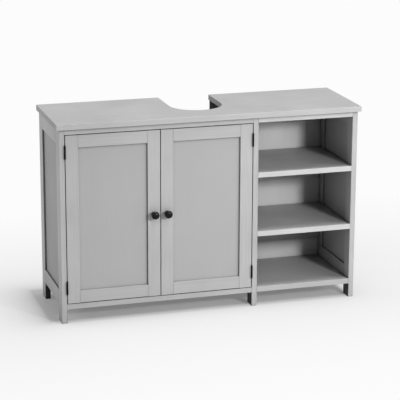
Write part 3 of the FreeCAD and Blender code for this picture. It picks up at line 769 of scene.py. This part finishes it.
def finished(built, name, material, place):
    """Turns a bmesh into an object with its place in its mesh and its faces pointing outwards."""
    bmesh.ops.transform(built, matrix=place, verts=built.verts)
    bmesh.ops.recalc_face_normals(built, faces=built.faces)
    mesh = bpy.data.meshes.new(name)
    built.to_mesh(mesh)
    built.free()
    piece = bpy.data.objects.new(name, mesh)
    bpy.context.scene.collection.objects.link(piece)
    mesh.materials.append(material)
    return piece


print("a knob is turned in", TURNING_STEPS, "steps")

# %% Two turned knobs
# local Z of a turned piece points this way once it is in its place
OUTWARDS = Matrix.Rotation(math.radians(90), 4, "X")
knob_finish = finish("black_knob", "turned_black_knob")
for side in ("left", "right"):
    low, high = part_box(f"{side}_door_knob")
    middle = (low + high) / 2
    built = bmesh.new()
    rounded_outline(built, KNOB_OUTLINE)
    spun(built, TURNING_STEPS)
    on_the_door = Matrix.Translation((middle.x, high.y, middle.z)) @ OUTWARDS
    knob = finished(built, f"{side}_turned_knob", knob_finish, on_the_door)
    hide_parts(f"{side}_door_knob")
    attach(knob, f"{side}_door")
    print(knob.name, "has", len(knob.data.polygons), "faces")

# %% [markdown]
# ## Screws
#
# The hinges and catches are held by small cross-head screws. The leaves of a closed hinge lie only
# a hair apart, so their screws are sunk flush and show just a thin rim and the cross. A disc is cut
# along the lines of the cross, the faces inside the cross are taken out, and what is left is raised
# to its thickness. That leaves a cross-shaped hole without a boolean.

# %% A screw's head with its cross
SCREW_STEPS = 28
CROSS_REACH_SHARE = 0.56
CROSS_ARM_SHARE = 0.15
HAIR_SHARE = 0.01
SUNK_SCREW = 2.6 * MILLIMETRE
SUNK_PROUD = 0.07 * MILLIMETRE
PAN_SCREW = 3.0 * MILLIMETRE
PAN_PROUD = 1.1 * MILLIMETRE


def cross_faces(built, radius):
    """Cuts a disc along the lines of a cross and gives the faces inside the cross."""
    reach, arm = radius * CROSS_REACH_SHARE, radius * CROSS_ARM_SHARE
    for axis in (Vector((1, 0, 0)), Vector((0, 1, 0))):
        for at in (-reach, -arm, arm, reach):
            everything = built.verts[:] + built.edges[:] + built.faces[:]
            bmesh.ops.bisect_plane(built, geom=everything, plane_co=axis * at, plane_no=axis)
    wide = arm + radius * HAIR_SHARE
    inside = []
    for face in built.faces:
        x, y = (abs(part) for part in face.calc_center_median()[:2])
        if (x < wide and y < reach) or (y < wide and x < reach):
            inside.append(face)
    return inside


def screw_head(name, place, facing, radius, proud, material, body):
    """A flat head with a cross cut through it, at a place on a face that looks along facing."""
    built = bmesh.new()
    bmesh.ops.create_circle(built, cap_ends=True, radius=radius, segments=SCREW_STEPS)
    bmesh.ops.delete(built, geom=cross_faces(built, radius), context="FACES")
    top = bmesh.ops.extrude_face_region(built, geom=built.faces[:])["geom"]
    raised = [part for part in top if isinstance(part, bmesh.types.BMVert)]
    bmesh.ops.translate(built, verts=raised, vec=(0, 0, proud))
    turn = Vector(facing).to_track_quat("Z", "Y").to_matrix().to_4x4()
    head = finished(built, name, material, Matrix.Translation(place) @ turn)
    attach(head, body)


print("a sunk screw is", round(2 * SUNK_SCREW * 1000, 1), "mm wide")

# %% Two screws in each hinge leaf
SCREWS_FROM_MIDDLE = 12.5 * MILLIMETRE
SCREWS_BEHIND_FACE = 8.0 * MILLIMETRE
LEAF_THICKNESS = 0.9 * MILLIMETRE
LEAF_LENGTH = 40.0 * MILLIMETRE
# leaves, their body, the way they face along X, and the X of the wood that they lie on
HINGED = {
    "left_post_hinge_leaves": ("carcass", 1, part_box("left_front_post")[1].x),
    "left_door_hinge_leaves": ("left_door", -1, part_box("left_door_hinge_stile")[0].x),
    "divider_hinge_leaves": ("carcass", -1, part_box("divider_front_post")[0].x),
    "right_door_hinge_leaves": ("right_door", 1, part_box("right_door_hinge_stile")[1].x),
}
sunk_black = finish("black_steel", "sunk_black_screw")
screw_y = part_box("left_door_hinge_stile")[0].y + SCREWS_BEHIND_FACE
made_screws = 0
for leaves, (body, way, wood_x) in HINGED.items():
    low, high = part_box(leaves)
    hinge = leaves.replace("_leaves", "")
    middles = {"lower": low.z + LEAF_LENGTH / 2, "upper": high.z - LEAF_LENGTH / 2}
    for end, middle_z in middles.items():
        for number, offset in enumerate((-SCREWS_FROM_MIDDLE, SCREWS_FROM_MIDDLE), start=1):
            screw_head(
                f"{hinge}_{end}_screw_{number}",
                Vector((wood_x + way * LEAF_THICKNESS, screw_y, middle_z + offset)),
                (way, 0, 0),
                SUNK_SCREW,
                SUNK_PROUD,
                sunk_black,
                body,
            )
            made_screws += 1
print(made_screws, "screws in the hinge leaves")

# %% Screws of the catches and their strike plates
CATCH_LENGTH = 42.0 * MILLIMETRE
CATCH_SCREW_FROM_END = 4.5 * MILLIMETRE
STRIKE_SCREW_FROM_END = 5.0 * MILLIMETRE
zinc_screw = finish("zinc_steel", "zinc_screw")
low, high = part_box("catch_housings")
for side, start in (("left", low.x), ("right", high.x - CATCH_LENGTH)):
    ends = (start + CATCH_SCREW_FROM_END, start + CATCH_LENGTH - CATCH_SCREW_FROM_END)
    for number, x in enumerate(ends, start=1):
        screw_head(
            f"{side}_catch_screw_{number}",
            (x, (low.y + high.y) / 2, low.z),
            (0, 0, -1),
            PAN_SCREW,
            PAN_PROUD,
            zinc_screw,
            "carcass",
        )
    plate_low, plate_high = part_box(f"{side}_door_strike_plate")
    ends = (plate_low.x + STRIKE_SCREW_FROM_END, plate_high.x - STRIKE_SCREW_FROM_END)
    for number, x in enumerate(ends, start=1):
        screw_head(
            f"{side}_strike_screw_{number}",
            (x, plate_high.y, (plate_low.z + plate_high.z) / 2),
            (0, 1, 0),
            SUNK_SCREW,
            SUNK_PROUD,
            zinc_screw,
            f"{side}_door",
        )
print("catches and strike plates have two screws each")

# %% [markdown]
# ## The studio
#
# The cabinet stands on a seamless pale floor. Near it the floor is a real surface that takes the
# shadows. Further off it goes over to plain white, and so does the world behind it, but only for
# what the camera and reflections see, so this white adds no light to the cabinet.
#
# The mask that blends the two is the distance from the cabinet's footprint: what a point's X and Y
# have left after half the footprint is taken away. The footprint is first moved a little back and
# to the left, because the shadow lies there. The distance is measured from a point a little above
# the floor, which keeps a hard line from showing where it starts.

# %% What the camera sees
WHITE = (1.0, 1.0, 1.0, 1.0)
BACKGROUND = 0.975


def seen_directly(tree):
    """1 for rays from the camera and for those that a mirror or glass sends on, else 0."""
    path = tree.nodes.new("ShaderNodeLightPath").outputs
    mirrored = calculate(tree, "MAXIMUM", path["Is Glossy Ray"], path["Is Transmission Ray"])
    return calculate(tree, "MAXIMUM", path["Is Camera Ray"], mirrored)


print("the background shows at", BACKGROUND, "of full white")

# %% The floor
FLOOR_SIZE = 60.0
FLOOR_PAINT = grey(202)
FLOOR_GLOSS = 0.6
FLOOR_SHINE = 0.1
SHADOWS_FADE_TO = 0.9
LEAST_WHITE = 0.19
FADE_POWER = 0.24
SHADOW_MOVED = (-0.020, 0.054, 0.0)
SIDEWAYS_SHARE = 0.7
SOFT_START = 0.03

built = bmesh.new()
bmesh.ops.create_grid(built, x_segments=1, y_segments=1, size=FLOOR_SIZE / 2)
floor = bpy.data.objects.new("floor", bpy.data.meshes.new("floor"))
built.to_mesh(floor.data)
built.free()
bpy.context.scene.collection.objects.link(floor)
material, tree, shader = new_material("seamless_floor")
floor.data.materials.append(material)
floor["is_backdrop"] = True
print("the floor is", FLOOR_SIZE, "m wide")

# %% The floor's way to white
half = (cad_box[1] - cad_box[0]) / 2
place = tree.nodes.new("ShaderNodeTexCoord").outputs["Object"]
moved = combine(tree, "SUBTRACT", place, SHADOW_MOVED)["Vector"]
from_middle = combine(tree, "ABSOLUTE", moved)["Vector"]
beyond = combine(tree, "SUBTRACT", from_middle, (half.x, half.y, 0.0))["Vector"]
outside = combine(tree, "MAXIMUM", beyond, (0.0, 0.0, 0.0))["Vector"]
slower = combine(tree, "MULTIPLY", outside, (SIDEWAYS_SHARE, 1.0, 0.0))["Vector"]
lifted = combine(tree, "ADD", slower, (0.0, 0.0, SOFT_START))["Vector"]
away = combine(tree, "LENGTH", lifted)["Value"]
far_off = spread(tree, away, 0.0, 1.0, SOFT_START, SHADOWS_FADE_TO)
plain = spread(tree, calculate(tree, "POWER", far_off, FADE_POWER), LEAST_WHITE, 1.0)
fill_named(
    tree, shader, Base_Color=FLOOR_PAINT, Roughness=FLOOR_GLOSS, Specular_IOR_Level=FLOOR_SHINE
)
glow = add(tree, "ShaderNodeEmission", Color=WHITE, Strength=BACKGROUND)
share = calculate(tree, "MULTIPLY", plain, seen_directly(tree))
both = add(tree, "ShaderNodeMixShader", Fac=share)
for socket, content in zip(both.inputs[1:], (shader.outputs["BSDF"], glow.outputs["Emission"])):
    tree.links.new(content, socket)
tree.links.new(both.outputs["Shader"], tree.nodes["Material Output"].inputs["Surface"])
print("the floor fades to white by", SHADOWS_FADE_TO, "m")

# %% The world
AMBIENT = 0.14

world = bpy.data.worlds.new("studio")
world.use_nodes = True
bpy.context.scene.world = world
tree = world.node_tree
strength = spread(tree, seen_directly(tree), AMBIENT, BACKGROUND)
fill_named(tree, tree.nodes["Background"], Color=WHITE, Strength=strength)
print("the world lights the cabinet at", AMBIENT, "and shows as", BACKGROUND)

# %% [markdown]
# ## Lamps
#
# Four soft lamps make the photograph's light, with a little even light from the world. A key lamp
# stands in front, to the right and higher than the cabinet: it brightens the right front more than
# the left, and the shadows of the right side and of each shelf fall on the bay's back. A wide lamp
# far overhead lights the top and the floor alike. A weak one to the left keeps the left side grey,
# and a weaker one far to the right reaches the left halves of the shelves.
#
# A lamp's power is worked out from the level that it gives a white card held square to it, so a
# lamp can be moved without its light changing. At one metre, pi squared watts make the card full
# white.

# %% Soft lamps
FRONT = (0.30, 0.0, 0.30)
TOP = (0.0, 0.0, 0.60)
LEFT_SIDE = (-0.46, 0.0, 0.35)
WATTS_FOR_WHITE = math.pi**2
# lamp, its place, what it is aimed at, its size, its level at the aim
LAMPS = {
    "key_lamp": ((1.02, -2.47, 1.26), FRONT, 0.30, 0.56),
    "top_lamp": ((0.60, -0.40, 6.00), TOP, 1.80, 0.77),
    "side_lamp": ((-2.00, 0.80, 1.30), LEFT_SIDE, 0.90, 0.28),
    "right_lamp": ((2.60, -1.60, 1.60), FRONT, 0.80, 0.14),
}


def soft_lamp(name, place, aim, size, level):
    """A square lamp that gives a white card at its aim the level stated, where 1 is full white."""
    data = bpy.data.lights.new(name, "AREA")
    data.shape = "SQUARE"
    data.size = size
    toward = Vector(aim) - Vector(place)
    data.energy = level * WATTS_FOR_WHITE * toward.length_squared
    lamp = bpy.data.objects.new(name, data)
    lamp.rotation_mode = "QUATERNION"
    lamp.rotation_quaternion = toward.to_track_quat("-Z", "Y")
    lamp.location = place
    bpy.context.scene.collection.objects.link(lamp)
    print(name, "stands", round(toward.length, 2), "m away with", round(data.energy), "W")


for name, (place, aim, size, level) in LAMPS.items():
    soft_lamp(name, place, aim, size, level)

# %% [markdown]
# ## Finish
#
# The colours are shown plainly, without a film look. The box of the finished model is measured and
# printed, as the frame's box was measured at the start. Nothing here may grow past the real sizes.

# %% Plain colours, and the two boxes
bpy.context.scene.view_settings.view_transform = "Standard"

visual_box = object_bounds()
whole = visual_box[1] - visual_box[0]
print("the visual model is", tuple(round(side, 4) for side in whole), "m")
